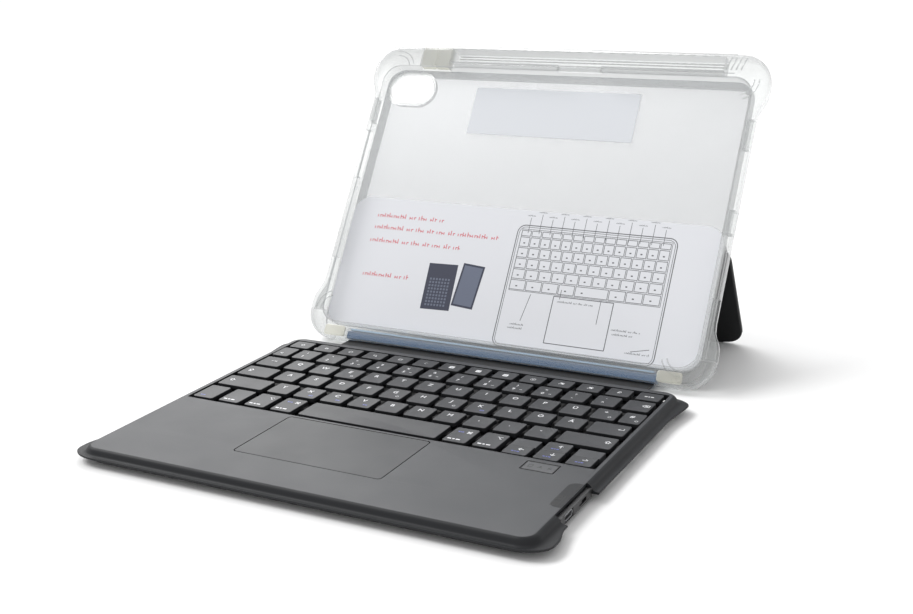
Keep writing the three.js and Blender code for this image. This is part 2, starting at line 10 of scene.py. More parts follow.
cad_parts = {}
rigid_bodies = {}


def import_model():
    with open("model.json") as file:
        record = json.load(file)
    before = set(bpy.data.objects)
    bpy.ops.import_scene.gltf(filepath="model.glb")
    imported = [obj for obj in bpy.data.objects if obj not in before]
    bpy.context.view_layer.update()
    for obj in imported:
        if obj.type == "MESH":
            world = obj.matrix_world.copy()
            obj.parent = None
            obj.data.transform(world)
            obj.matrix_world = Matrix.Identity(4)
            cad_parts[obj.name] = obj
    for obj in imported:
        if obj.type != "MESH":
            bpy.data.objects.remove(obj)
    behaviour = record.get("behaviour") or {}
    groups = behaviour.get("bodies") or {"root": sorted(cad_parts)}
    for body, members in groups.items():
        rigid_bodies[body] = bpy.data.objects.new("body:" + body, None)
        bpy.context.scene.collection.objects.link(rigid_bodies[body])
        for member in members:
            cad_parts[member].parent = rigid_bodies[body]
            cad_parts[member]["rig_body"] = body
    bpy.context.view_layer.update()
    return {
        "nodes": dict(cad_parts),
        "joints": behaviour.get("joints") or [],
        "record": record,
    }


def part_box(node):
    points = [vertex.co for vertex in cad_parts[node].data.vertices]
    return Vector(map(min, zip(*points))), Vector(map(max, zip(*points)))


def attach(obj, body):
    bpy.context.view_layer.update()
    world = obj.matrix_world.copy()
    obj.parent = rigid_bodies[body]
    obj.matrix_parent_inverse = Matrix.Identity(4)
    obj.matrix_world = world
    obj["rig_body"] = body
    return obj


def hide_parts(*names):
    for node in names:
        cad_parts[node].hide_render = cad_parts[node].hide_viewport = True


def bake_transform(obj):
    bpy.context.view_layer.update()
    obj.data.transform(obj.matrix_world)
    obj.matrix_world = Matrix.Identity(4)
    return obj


bl_info = {
    "name": "Tablet Keyboard Case",
    "version": (1, 0, 0),
    "blender": (4, 5, 0),
    "location": "View3D > Sidebar > Keyboard Case",
    "description": "Builds the looks of a clear tablet case with a docked keyboard",
    "category": "Object",
}

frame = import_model()
MM = 0.001
CUT_SLACK = 0.01  # mm that a cut may add to a piece's size by rounding
SMOOTH_BEAD = math.radians(50)  # faces that meet at less than this are shaded smooth
CLOSED_ENOUGH = 0.004  # mm within which a CAD node's loose corners are one corner

# ---- where things are
DOCK_AXIS = next(Vector(j["axis"]) for j in frame["joints"] if j["name"] == "dock_slide")
CASE_LEAN = math.atan2(-DOCK_AXIS.z, -DOCK_AXIS.y)
CASE_FOOT = Vector((0, 45.86, 3.5)) * MM  # the case's own zero point
CASE_PLACE = Matrix.Translation(CASE_FOOT) @ Matrix.Rotation(CASE_LEAN, 4, "X")
KEYBOARD_ZERO = 21.16  # the row frame's y of the keyboard's own zero line, in mm


# ---- modelling helpers
def only(*pieces):
    """Selects these objects and nothing else; the last one is active."""
    bpy.ops.object.select_all(action="DESELECT")
    for piece in pieces:
        piece.select_set(True)
    bpy.context.view_layer.objects.active = pieces[-1]


def block(name, low, high):
    """A box between two corners given in mm, with its place in its mesh."""
    bpy.ops.object.select_all(action="DESELECT")
    low, high = Vector(low) * MM, Vector(high) * MM
    bpy.ops.mesh.primitive_cube_add(size=1, location=(low + high) / 2, scale=high - low)
    bpy.ops.object.transform_apply(location=True, rotation=True, scale=True)
    piece = bpy.context.object
    piece.name = name
    return piece


def open_edit(piece, mode):
    """Edit mode on one piece, nothing selected; gives its editable mesh."""
    only(piece)
    bpy.ops.object.mode_set(mode="EDIT")
    bpy.ops.mesh.select_mode(type=mode)
    bpy.ops.mesh.select_all(action="DESELECT")
    return bmesh.from_edit_mesh(piece.data)


def close_edit():
    bpy.ops.object.mode_set(mode="OBJECT")


def select_in(piece, mesh, parts, test):
    """Selects the edges or faces whose middle and element pass the test."""
    for part in parts:
        points = [v.co for v in part.verts]
        middle = sum(points, Vector()) / len(points) / MM
        if test(middle, part):
            part.select_set(True)
    mesh.select_flush_mode()
    bmesh.update_edit_mesh(piece.data)


def is_upright(middle, edge):
    """True for an edge that runs along z."""
    a, b = (v.co for v in edge.verts)
    return abs((b - a).normalized().z) > 0.99


def round_edges(piece, test, width, segments):
    """Bevels the edges that pass the test; width in mm."""
    mesh = open_edit(piece, "EDGE")
    select_in(piece, mesh, mesh.edges, test)
    bpy.ops.mesh.bevel(offset=width * MM, segments=segments, affect="EDGES")
    close_edit()


def smooth(piece, angle=SMOOTH_BEAD):
    """Shades a piece smooth where its faces meet at less than the angle."""
    only(piece)
    bpy.ops.object.shade_smooth_by_angle(angle=angle)


def finish_modifier(piece, kind, **settings):
    """Adds a modifier, sets it and applies it."""
    only(piece)
    added = piece.modifiers.new(kind.title(), kind)
    for key, value in settings.items():
        setattr(added, key, value)
    bpy.ops.object.modifier_apply(modifier=added.name)


def carve(piece, *cutters):
    """Cuts each cutter out of the piece and removes it; a failed cut is an error."""
    for cutter in cutters:
        bpy.context.view_layer.update()
        before = piece.dimensions.copy()
        finish_modifier(piece, "BOOLEAN", operation="DIFFERENCE", solver="EXACT", object=cutter)
        bpy.data.objects.remove(cutter)
        bpy.context.view_layer.update()
        if not piece.data.polygons or max(piece.dimensions - before) > CUT_SLACK * MM:
            raise RuntimeError(f"a cut of {piece.name} failed")


def soften(piece, width=0.2, segments=2, limit=35):
    """Breaks the sharp edges by width mm and shades the rest smooth."""
    if width:
        finish_modifier(
            piece,
            "BEVEL",
            width=width * MM,
            segments=segments,
            limit_method="ANGLE",
            angle_limit=math.radians(limit),
            harden_normals=False,
        )
    smooth(piece, math.radians(limit + 10))
    finish_modifier(piece, "WEIGHTED_NORMAL", keep_sharp=True)


def join(name, pieces):
    """Joins pieces into one, which keeps all their materials."""
    only(*pieces)
    if len(pieces) > 1:
        bpy.ops.object.join()
    joined = bpy.context.object
    joined.name = name
    joined.data.name = name
    return joined


def box_mm(node):
    """Low and high corners of a CAD node in mm."""
    return [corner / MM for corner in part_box(node)]


def copy_of(piece, name):
    """A copy with its own mesh."""
    made = bpy.data.objects.new(name, piece.data.copy())
    bpy.context.scene.collection.objects.link(made)
    return made


def place_on_case(piece):
    """Takes a piece modelled flat, in the case's own axes, to where the case leans."""
    piece.data.transform(CASE_PLACE)
    piece.data.update()


def place_on_keyboard(piece):
    """Takes a piece modelled from the keyboard's own zero line to its place."""
    piece.data.transform(Matrix.Translation((0, KEYBOARD_ZERO * MM, 0)))


def paint(piece, finish, test=None):
    """Gives the whole piece a named finish, or the faces whose middle in mm passes the test."""
    material = finish_named(finish)
    if test is None:
        piece.data.materials.clear()
        piece.data.materials.append(material)
        return
    piece.data.materials.append(material)
    last = len(piece.data.materials) - 1
    for face in piece.data.polygons:
        if test(face.center / MM, face):
            face.material_index = last


def settle(piece, body, slot, *nodes):
    """Ties a finished piece to its body and hides the nodes it stands for; the slot is not used."""
    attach(piece, body)
    if nodes:
        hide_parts(*nodes)
    return piece


def refine(node, name, finish, width=0.25, segments=2, limit=35):
    """A finished copy of a CAD node: merged, its edges broken, shaded smooth."""
    source = frame["nodes"][node]
    piece = copy_of(source, name)
    mesh = open_edit(piece, "VERT")
    bpy.ops.mesh.select_all(action="SELECT")
    bpy.ops.mesh.remove_doubles(threshold=CLOSED_ENOUGH * MM)
    bpy.ops.mesh.dissolve_limited(angle_limit=math.radians(1.0))
    close_edit()
    soften(piece, width, segments, limit)
    paint(piece, finish)
    slots = {s["node"]: s["material_slot"] for s in frame["record"]["subparts"]}
    return settle(piece, source["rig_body"], slots[node], node)


# ---- shader helpers
class Field:
    """A shader socket that takes part in Python arithmetic."""

    def __init__(self, recipe, socket):
        self.recipe = recipe
        self.socket = socket

    def math(self, operation, first, second):
        return self.recipe.node("Math", {"operation": operation}, {0: first, 1: second})

    def __add__(self, other):
        return self.math("ADD", self, other)

    def __sub__(self, other):
        return self.math("SUBTRACT", self, other)

    def __mul__(self, other):
        return self.math("MULTIPLY", self, other)


class Recipe:
    """One material, made node by node."""

    def __init__(self, name):
        self.material = bpy.data.materials.new(name)
        self.material.use_nodes = True
        self.tree = self.material.node_tree
        self.tree.nodes.clear()
        self.place = self.node("TexCoord", output="Object")

    def node(self, kind, settings=None, values=None, output=0):
        made = self.tree.nodes.new("ShaderNode" + kind)
        for key, value in (settings or {}).items():
            setattr(made, key, value)
        for key, value in (values or {}).items():
            if isinstance(value, Field):
                self.tree.links.new(value.socket, made.inputs[key])
            else:
                made.inputs[key].default_value = value
        return Field(self, made.outputs[output]) if made.outputs else None

    def noise(self, size, detail=3.0, roughness=0.5, place=None):
        """Cloudy noise whose features are about size mm across, from 0 to 1."""
        values = {"Vector": place or self.place, "Scale": 1 / (size * MM), "Detail": detail}
        values["Roughness"] = roughness
        return self.node("TexNoise", None, values, "Fac")

    def stretched(self, x, y, z):
        """Object coordinates scaled along each axis, for brushed or woven patterns."""
        return self.node("Mapping", None, {"Vector": self.place, "Scale": (x, y, z)})

    def between(self, factor, low, high):
        """A colour between two, by a factor."""
        values = {0: factor, 6: (*low, 1), 7: (*high, 1)}
        return self.node("Mix", {"data_type": "RGBA"}, values, 2)

    def relief(self, height, depth):
        """A normal from a height pattern depth mm deep."""
        return self.node("Bump", None, {"Distance": depth * MM, "Height": height})

    def surface(self, **values):
        """A principled surface; names use _ for the spaces in the socket names."""
        values = {key.replace("_", " "): value for key, value in values.items()}
        return self.node("BsdfPrincipled", None, values)

    def finish(self, shader):
        self.node("OutputMaterial", None, {"Surface": shader})
        return self.material


def grained(name, tone, spread, rough, grain, depth, specular=0.5):
    """A moulded or coated finish: fine grain, faint clouds, and slightly uneven gloss."""
    made = Recipe(name)
    fine = made.noise(grain, 2.0)
    cloud = made.noise(24, 3.0)
    low = [c * (1 - spread) for c in tone]
    high = [c * (1 + spread) for c in tone]
    colour = made.between(fine * 0.55 + cloud * 0.45, low, high)
    gloss = cloud * 0.12 + fine * 0.06 + (rough - 0.09)
    return made.finish(
        made.surface(
            Base_Color=colour,
            Roughness=gloss,
            Normal=made.relief(fine, depth),
            Specular_IOR_Level=specular,
        )
    )


def brushed(name, tone, rough):
    """Metal with fine lines along x."""
    made = Recipe(name)
    lines = made.noise(0.4, 2.0, 0.6, made.stretched(0.02, 1, 1))
    colour = made.between(lines, [c * 0.86 for c in tone], [c * 1.08 for c in tone])
    return made.finish(
        made.surface(
            Base_Color=colour,
            Metallic=1.0,
            Roughness=lines * 0.2 + (rough - 0.1),
            Normal=made.relief(lines, 0.01),
        )
    )


def clear(name, tint, body, share, edge, rough, waves):
    """Clear plastic: light passes, a share is milky, and rims seen edge-on are denser."""
    made = Recipe(name)
    ripple = made.noise(14, 2.0)
    normal = made.relief(ripple, waves)
    rim = made.node("LayerWeight", None, {"Blend": 0.4, "Normal": normal}, "Facing")
    cloud = made.noise(40, 3.0)
    through = made.node("BsdfTransparent", None, {"Color": (*tint, 1)})
    milk = made.surface(
        Base_Color=made.between(cloud, [c * 0.97 for c in body], body),
        Roughness=cloud * 0.05 + 0.3,
        Normal=normal,
    )
    mass = made.node("MixShader", None, {0: rim * edge + (cloud * 0.04 + share), 1: through, 2: milk})
    shine = made.node("BsdfGlossy", None, {"Color": (1, 1, 1, 1), "Roughness": rough, "Normal": normal})
    # the same gloss on both sides of a wall, so that inner faces don't turn into mirrors
    facing = made.node("LayerWeight", None, {"Blend": 0.5, "Normal": normal}, "Facing")
    squared = facing * facing
    gloss = squared * squared * facing * 0.9 + 0.04
    return made.finish(made.node("MixShader", None, {0: gloss, 1: mass, 2: shine}))


def woven(name, tone):
    """Coated cloth with a fine weave."""
    made = Recipe(name)
    warp = made.node("TexWave", {"bands_direction": "X"}, {"Vector": made.place, "Scale": 420.0}, "Fac")
    weft = made.node("TexWave", {"bands_direction": "Y"}, {"Vector": made.place, "Scale": 420.0}, "Fac")
    cloud = made.noise(9, 3.0)
    weave = warp * weft
    colour = made.between(weave * 0.6 + cloud * 0.4, [c * 0.8 for c in tone], [c * 1.2 for c in tone])
    return made.finish(
        made.surface(
            Base_Color=colour,
            Roughness=cloud * 0.1 + 0.6,
            Sheen_Weight=0.05,
            Normal=made.relief(weave, 0.06),
        )
    )


# Each row: maker, material's name, then the maker's arguments in order. A colour is given
# as three numbers, or as one of the user's colours and a share of it.
FINISH_TABLE = {
    "deck": (grained, "soft_touch_deck", ("deck", 1), 0.13, 0.5, 0.45, 0.03),
    # this edge row is the deck finish at under half its tone: painted shade for the deck's rolled edge,
    # valley and flange
    "edge": (grained, "rolled_edge", ("deck", 0.45), 0.1, 0.5, 0.4, 0.02, 0.25),
    "port_patch": (grained, "port_patch", ("deck", 0.4), 0.05, 0.5, 0.8, 0.005, 0.25),
    "touchpad": (grained, "touchpad_smooth", ("touchpad", 0.8), 0.04, 0.5, 0.25, 0.004),
    "tray": (grained, "tray_plastic", (0.035, 0.036, 0.039), 0.15, 0.6, 0.5, 0.03),
    "keys": (grained, "key_satin", ("keys", 1), 0.07, 0.46, 0.3, 0.008),
    # this key side row is the key finish at under half its tone: painted shade for the caps' sides
    "key_side": (grained, "key_side", ("keys", 0.4), 0.07, 0.5, 0.3, 0.008, 0.2),
    "well": (grained, "well_black", (0.006, 0.006, 0.0065), 0.3, 0.6, 0.6, 0.02),
    "black": (grained, "moulded_black", (0.014, 0.014, 0.015), 0.2, 0.45, 0.5, 0.01),
    "stand": (grained, "kickstand_black", (0.008, 0.0082, 0.009), 0.2, 0.55, 0.35, 0.02, 0.3),
    "rubber": (grained, "rubber_black", (0.012, 0.012, 0.012), 0.25, 0.85, 0.3, 0.03),
    "legend": (grained, "legend_white", ("legend", 1), 0.03, 0.5, 0.3, 0.002),
    "legend_blue": (grained, "legend_blue", (0.10, 0.13, 0.42), 0.06, 0.5, 0.3, 0.002),
    "window": (grained, "indicator_window", ("deck", 0.92), 0.04, 0.3, 0.6, 0.003),
    "mark": (grained, "mark_black", (0.012, 0.012, 0.012), 0.1, 0.5, 0.3, 0.002),
    "card": (grained, "card_paper", (0.74, 0.75, 0.785), 0.015, 0.62, 0.35, 0.006),
    "label": (grained, "label_paper", (0.68, 0.70, 0.735), 0.012, 0.55, 0.35, 0.006),
    "red_ink": (grained, "red_ink", (0.66, 0.14, 0.17), 0.05, 0.6, 0.3, 0.002),
    "grey_ink": (grained, "grey_ink", (0.12, 0.125, 0.135), 0.08, 0.6, 0.3, 0.002),
    "slate_ink": (grained, "slate_ink", (0.13, 0.15, 0.21), 0.15, 0.6, 0.3, 0.002),
    "dark_ink": (grained, "dark_ink", (0.035, 0.04, 0.07), 0.15, 0.6, 0.3, 0.002),
    "dock": (grained, "dock_blue_grey", (0.07, 0.165, 0.32), 0.1, 0.36, 0.5, 0.01),
    "magnet": (brushed, "magnet_plate", (0.5, 0.51, 0.53), 0.4),
    "steel": (brushed, "brushed_steel", (0.38, 0.54, 0.72), 0.42),
    "battery": (brushed, "battery_foil", (0.6, 0.62, 0.65), 0.4),
    "board": (grained, "board_green", (0.02, 0.12, 0.05), 0.25, 0.45, 1.2, 0.03),
    # the hinge cloth at a fifth of the deck's tone: partly its own dark colour, partly painted shade for
    # the gap under the case's wall
    "cloth": (woven, "hinge_cloth", ("deck", 0.2)),
    "soft_clear": (clear, "clear_soft", (0.925, 0.932, 0.93), ("clear", 0.68), 0.12, 0.5, 0.09, 0.25),
    "lip_clear": (clear, "clear_lip", (0.97, 0.98, 0.985), ("clear", 1), 0.03, 0.12, 0.09, 0.04),
    "hard_clear": (clear, "clear_sheet", (0.82, 0.826, 0.832), ("clear", 0.68), 0.2, 0.12, 0.05, 0.03),
    "yellow_clear": (clear, "clear_thick", (0.965, 0.96, 0.915), (0.88, 0.87, 0.79), 0.25, 0.4, 0.1, 0.04),
}
FINISHES = {}


def tone_of(value):
    """Turns a user's colour and its share into three numbers; leaves the rest as it is."""
    if not isinstance(value, tuple) or not isinstance(value[0], str):
        return value
    name, share = value
    return [channel * share for channel in getattr(bpy.context.scene.case_colours, name)]


def finish_named(name):
    """The materials are made once, when a piece first asks for one."""
    if name not in FINISHES:
        maker, *values = FINISH_TABLE[name]
        FINISHES[name] = maker(*(tone_of(value) for value in values))
    return FINISHES[name]


# ---- what a user may change
def colour(name, about, default):
    return bpy.props.FloatVectorProperty(name=name, description=about, subtype="COLOR", default=default)


def length(name, about, in_mm):
    return bpy.props.FloatProperty(name=name, description=about, default=in_mm * MM, unit="LENGTH")


class CaseColours(bpy.types.PropertyGroup):
    """Colours of the case and the keyboard."""

    deck: colour("Deck", "Soft-touch keyboard deck", (0.032, 0.034, 0.039))
    keys: colour("Keys", "Satin keycaps", (0.017, 0.0185, 0.0225))
    touchpad: colour("Touchpad", "Touchpad surface", (0.032, 0.034, 0.039))
    legend: colour("Legends", "Printed key legends", (0.75, 0.76, 0.78))
    clear: colour("Clear plastic", "Colour of the milky share of the clear plastic", (0.9, 0.91, 0.915))


class CaseSizes(bpy.types.PropertyGroup):
    """Sizes of the details that sit on the CAD frame."""

    key_radius: length("Key corner", "Corner radius of a keycap", 1.2)
    key_edge: length("Key edge", "Rounding of a keycap's top edge", 0.2)
    key_gap: length("Key gap", "Gap between letter keys", 3.6)
    key_pitch: length("Key pitch", "Distance between letter keys", 17.3)
    legend_height: length("Letter height", "Size of a key's letter", 4.2)


class StageSettings(bpy.types.PropertyGroup):
    """Floor, light and camera."""

    floor: colour("Floor", "Pale studio floor", (0.88, 0.88, 0.88))
    sky: bpy.props.FloatProperty(name="Room light", description="Even light from all round", default=0.76)
    sun: bpy.props.FloatProperty(
        name="Key light", description="Strength of the soft key light", default=1.8
    )
    lens: bpy.props.FloatProperty(
        name="Lens", description="Focal length", default=52.14, unit="CAMERA"
    )


# ---- stage
FLOOR_SIZE = 24
SUN_FROM = Vector((-0.85, -0.06, 0.95))
SUN_SPREAD = math.radians(32)  # a wide sun, so that its shadows are soft
SOFTBOX_POWER = 12.0
SOFTBOX_SIZE = (1.3, 1.1)
SOFTBOX_AT = (-0.85, 0.95, 0.85)
SOFTBOX_AIM = Vector((0, 0.08, 0.08))
CAMERA_AT = (0.33017, -0.61905, 0.25995)
CAMERA_RIGHT = Vector((0.88727, 0.46069, -0.02247))
CAMERA_UP = Vector((-0.11264, 0.26367, 0.95801))


class CASE_OT_stage(bpy.types.Operator):
    """Floor, room light, key light and camera"""

    bl_idname = "case.stage"
    bl_label = "Stage"

    def execute(self, context):
        settings = context.scene.case_stage
        bpy.ops.object.select_all(action="DESELECT")
        bpy.ops.mesh.primitive_plane_add(size=FLOOR_SIZE, location=(0, 0, 0))
        floor = bpy.context.object
        floor.name = "floor"
        FINISHES["floor"] = grained("floor_paper", settings.floor, 0.004, 0.9, 3, 0.001, 0.0)
        paint(floor, "floor")

        world = bpy.data.worlds.new("room")
        world.use_nodes = True
        background = world.node_tree.nodes["Background"]
        background.inputs["Color"].default_value = (1, 1, 1, 1)
        background.inputs["Strength"].default_value = settings.sky
        context.scene.world = world

        sun = bpy.data.lights.new("key", "SUN")
        sun.energy = settings.sun
        sun.angle = SUN_SPREAD
        key = bpy.data.objects.new("key", sun)
        key.rotation_euler = SUN_FROM.to_track_quat("Z", "Y").to_euler()
        context.scene.collection.objects.link(key)

        panel = bpy.data.lights.new("softbox", "AREA")
        panel.energy = SOFTBOX_POWER
        panel.shape = "RECTANGLE"
        panel.size, panel.size_y = SOFTBOX_SIZE
        softbox = bpy.data.objects.new("softbox", panel)
        softbox.location = SOFTBOX_AT
        aim = softbox.location - SOFTBOX_AIM
        softbox.rotation_euler = aim.to_track_quat("Z", "Y").to_euler()
        context.scene.collection.objects.link(softbox)

        lens = bpy.data.cameras.new("camera")
        lens.lens = settings.lens
        lens.sensor_width = 36
        lens.clip_start, lens.clip_end = 0.01, 60
        camera = bpy.data.objects.new("camera", lens)
        back = CAMERA_RIGHT.cross(CAMERA_UP)
        turn = Matrix((CAMERA_RIGHT, CAMERA_UP, back)).transposed().to_4x4()
        camera.matrix_world = Matrix.Translation(CAMERA_AT) @ turn
        context.scene.collection.objects.link(camera)
        context.scene.camera = camera
        context.scene.view_settings.view_transform = "Standard"
        return {"FINISHED"}


# ---- clear case
RAIL = {"left": -76.5, "right": 104, "floor": -9.8}
BUMPER = {"side": 133.5, "bottom": 2.1, "top": 206.8, "corner": 18}
RAIL_BEADS = (196.6, 199.0, 201.4, 203.2)  # how far up the case each long bead lies
EDGE_BEADS = (193.4, 205.6)
CORNER_BEADS = (9.2, 12.2)  # radii
NUBS = {"count": 24, "left": RAIL["left"] + 3, "step": 7.4}  # short beads outside the rail
RIBS = {"count": 4, "left": 106.5, "step": 3}  # slanting beads beside it
LIP = {"top": 14.0, "side": 103.0}  # the thin wall over the dock, in the row frame
END_BLOCK = {"inner": 102.8, "outer": 117.5, "low": 3.4, "high": 10.2, "back": -1.2, "front": 0.3}


def rib(name, start, end, radius, steps=5):
    """A half-sunk round bead between two points in the case's own axes, in mm."""
    low, high = Vector(start), Vector(end)
    run = high - low
    bpy.ops.object.select_all(action="DESELECT")
    bpy.ops.mesh.primitive_cylinder_add(
        vertices=2 * steps + 2,
        radius=radius * MM,
        depth=run.length * MM,
        location=(low + high) / 2 * MM,
        rotation=run.to_track_quat("Z", "Y").to_euler(),
    )
    bpy.ops.object.transform_apply(location=True, rotation=True, scale=True)
    made = bpy.context.object
    made.name = name
    round_ends(made)
    return made


def round_ends(piece):
    """Rounds the two flat ends of a bead."""
    mesh = open_edit(piece, "FACE")
    select_in(piece, mesh, mesh.faces, lambda middle, face: len(face.verts) > 4)
    bpy.ops.mesh.inset(thickness=0.12 * MM, depth=0.12 * MM)
    close_edit()
    smooth(piece)


def arc_bead(name, centre, radius, start, end, thick):
    """A bead bent round a corner, in the case's own axes; angles in degrees."""
    bpy.ops.object.select_all(action="DESELECT")
    steps = 10
    bpy.ops.mesh.primitive_circle_add(
        vertices=8, radius=thick * MM, location=(0, 0, 0), rotation=(math.pi / 2, 0, 0)
    )
    bpy.ops.object.transform_apply(location=True, rotation=True, scale=True)
    made = bpy.context.object
    made.name = name
    made.data.transform(Matrix.Translation((radius * MM, 0, 0)))
    made.data.transform(Matrix.Rotation(math.radians(start), 4, "Z"))
    open_edit(made, "VERT")
    bpy.ops.mesh.select_all(action="SELECT")
    bpy.ops.mesh.spin(
        steps=steps, angle=math.radians(end - start), center=(0, 0, 0), axis=(0, 0, 1)
    )
    bpy.ops.mesh.select_all(action="SELECT")
    bpy.ops.mesh.region_to_loop()
    bpy.ops.mesh.fill_holes(sides=0)
    bpy.ops.mesh.select_all(action="SELECT")
    bpy.ops.mesh.fill_holes(sides=0)
    bpy.ops.mesh.normals_make_consistent(inside=False)
    close_edit()
    made.data.transform(Matrix.Translation(Vector(centre) * MM))
    smooth(made)
    return made


class CASE_OT_clear_case(bpy.types.Operator):
    """Clear bumper, back sheet, camera ring and their moulded beads"""

    bl_idname = "case.clear_case"
    bl_label = "Clear case"

    def execute(self, context):
        soft = "soft_clear"
        bumper = refine("bumper_frame", "clear_bumper", soft, 0.35, 2, 32)
        paint(bumper, "lip_clear", self.in_front_of_dock)
        refine("back_panel", "clear_sheet", "hard_clear", 0.15)
        refine("camera_ring", "camera_rim", soft, 0.4, 3)
        self.rail_beads(soft)
        self.corner_beads(soft)
        self.corner_fill()
        return {"FINISHED"}

    def in_front_of_dock(self, middle, face):
        """The thin wall over the dock channel, which is clearer than the rest."""
        return middle.z < LIP["top"] and abs(middle.x) < LIP["side"]

    def moulded(self, name, parts, finish):
        """Joins parts modelled in the case's own axes and fixes them to the bumper."""
        made = join(name, parts)
        place_on_case(made)
        paint(made, finish)
        return settle(made, "case", "clear_bumper")

    def rail_beads(self, soft):
        """Long and short beads along the rail at the far edge."""
        beads = []
        for up in RAIL_BEADS:
            start = (RAIL["left"] + 1, up, RAIL["floor"] + 0.1)
            end = (RAIL["right"] - 1, up, RAIL["floor"] + 0.1)
            beads.append(rib("bead", start, end, 0.45))
        for up in EDGE_BEADS:
            beads.append(rib("bead", (-74, up, -0.02), (112, up, -0.02), 0.3))
        for index in range(NUBS["count"]):
            start = NUBS["left"] + index * NUBS["step"]
            beads.append(rib("bead", (start, 206.4, -4.4), (start + 2.6, 206.4, -4.4), 0.55, 3))
        for index in range(RIBS["count"]):
            middle = RIBS["left"] + index * RIBS["step"]
            beads.append(rib("bead", (middle, 195.8, -0.2), (middle + 2.2, 203.6, -0.2), 0.5, 3))
        self.moulded("rail_beads", beads, soft)

    def corner_beads(self, soft):
        """Two bent beads round each corner."""
        beads = []
        reach = BUMPER["corner"]
        for side in (-1, 1):
            for end, up in ((-1, BUMPER["bottom"] + reach), (1, BUMPER["top"] - reach)):
                across = side * (BUMPER["side"] - reach)
                low = {(-1, -1): 180, (1, -1): 270, (1, 1): 0, (-1, 1): 90}[(side, end)]
                for radius in CORNER_BEADS:
                    centre = (across, up, -0.05)
                    beads.append(arc_bead("bead", centre, radius, low + 6, low + 84, 0.42))
        self.moulded("corner_beads", beads, soft)

    def corner_fill(self):
        """Thick yellowish blocks that close the dock channel's ends."""
        parts = []
        for side in (-1, 1):
            low, high = sorted((side * END_BLOCK["inner"], side * END_BLOCK["outer"]))
            near = (low, END_BLOCK["low"], END_BLOCK["back"])
            part = block("fill", near, (high, END_BLOCK["high"], END_BLOCK["front"]))
            round_edges(part, is_upright, 1.6, 4)
            round_edges(part, lambda middle, edge: middle.z > 0.29, 0.5, 3)
            parts.append(part)
        made = self.moulded("channel_end_blocks", parts, "yellow_clear")
        smooth(made, math.radians(40))


class CASE_OT_buttons(bpy.types.Operator):
    """Soft covers over the tablet's buttons"""

    bl_idname = "case.buttons"
    bl_label = "Button covers"

    def execute(self, context):
        thick = "yellow_clear"
        refine("volume_up_cover", "volume_up", thick, 0.9, 4)
        refine("volume_down_cover", "volume_down", thick, 0.9, 4)
        refine("power_button_cover", "power_button", "soft_clear", 0.9, 4)
        return {"FINISHED"}


# ---- printed card and label
CARD_TOP = -7.7
INK = 0.03
RED_LINES = ((-105, 87, 50), (-105, 79, 89), (-106, 70, 66), (-105, 47, 34))  # x, y, length
DRAWING = {"left": -5, "right": 97, "low": 12.9, "high": 90.5}
DRAWN_KEYS = (14, 14, 13, 12, 11, 9)  # in each row of the drawing
# x from the drawing's left edge, y and length of each caption; then both ends of each leader
DRAWING_CAPTIONS = ((9, 27, 9), (8, 24.6, 11), (36, 44, 24), (73, 31, 18), (74, 28.4, 13), (84, 18.5, 15))
DRAWING_LEADERS = ((15, 30, 18, 47), (37, 46, 37, 52), (63, 33.5, 63, 48), (87, 20, 98, 22.5))
# middle x and y, width, height and turn of each thing in the picture, and whether it has keys
PICTURE = ((-49, 45, 20, 30, 0.03, True), (-29.5, 47.5, 15, 28, -0.08, False))
PICTURE_KEYS = (-7.5, -5.4, -3.3, -1.2, 0.9, 3.0, 5.1)


def ink_strip(start, end, width, level=CARD_TOP):
    """Four corners of a printed line between two points on the card, in mm."""
    a, b = Vector(start), Vector(end)
    across = Vector((a.y - b.y, b.x - a.x)).normalized() * width / 2
    corners = (a - across, b - across, b + across, a + across)
    return [(*corner, level) for corner in corners]


def print_on(name, strips, finish, body, slot, place=place_on_case):
    """One thin printed layer from many flat quads, lifted by its own thickness."""
    made = bpy.data.objects.new(name, bpy.data.meshes.new(name))
    bpy.context.scene.collection.objects.link(made)
    corners = [Vector(p) * MM for strip in strips for p in strip]
    faces = []
    count = 0
    for strip in strips:
        faces.append(list(range(count, count + len(strip))))
        count += len(strip)
    made.data.from_pydata(corners, [], faces)
    made.data.update()
    finish_modifier(made, "SOLIDIFY", thickness=INK * MM, offset=1.0)
    place(made)
    paint(made, finish)
    return settle(made, body, slot)


def frame_strips(x0, y0, x1, y1, width, level=CARD_TOP):
    """Outline of a rectangle as four printed lines."""
    corners = [(x0, y0), (x1, y0), (x1, y1), (x0, y1)]
    return [
        ink_strip(corners[i], corners[(i + 1) % 4], width, level) for i in range(4)
    ]


def rounded_strips(x0, y0, x1, y1, radius, width):
    """Outline of a rectangle with rounded corners, as short printed lines."""
    points = []
    for cx, cy, start in ((x1, y0, -90), (x1, y1, 0), (x0, y1, 90), (x0, y0, 180)):
        inward = Vector((math.copysign(radius, x0 + x1 - 2 * cx), math.copysign(radius, y0 + y1 - 2 * cy)))
        middle = Vector((cx, cy)) + inward
        for step in range(7):
            angle = math.radians(start + 15 * step)
            points.append(middle + radius * Vector((math.cos(angle), math.sin(angle))))
    return [ink_strip(a, b, width) for a, b in zip(points, points[1:] + points[:1])]


def word_bars(x, y, length, height):
    """A line of unreadable text: uneven little strokes in groups, like words."""
    strips = []
    pitch = height * 0.62
    for step in range(int(length / pitch)):
        if step % 9 in (4, 8) and step % 4:
            continue
        at = x + step * pitch
        tall = height * (0.62, 1.0, 0.62, 0.62, 1.15, 0.62, 0.8)[step * 5 % 7]
        strips.append(ink_strip((at, y), (at, y + tall), height * 0.2))
        if step % 3:
            low = y + height * (0.08, 0.55, 0.3)[step % 3]
            strips.append(ink_strip((at, low), (at + pitch * 0.7, low), height * 0.2))
    return strips


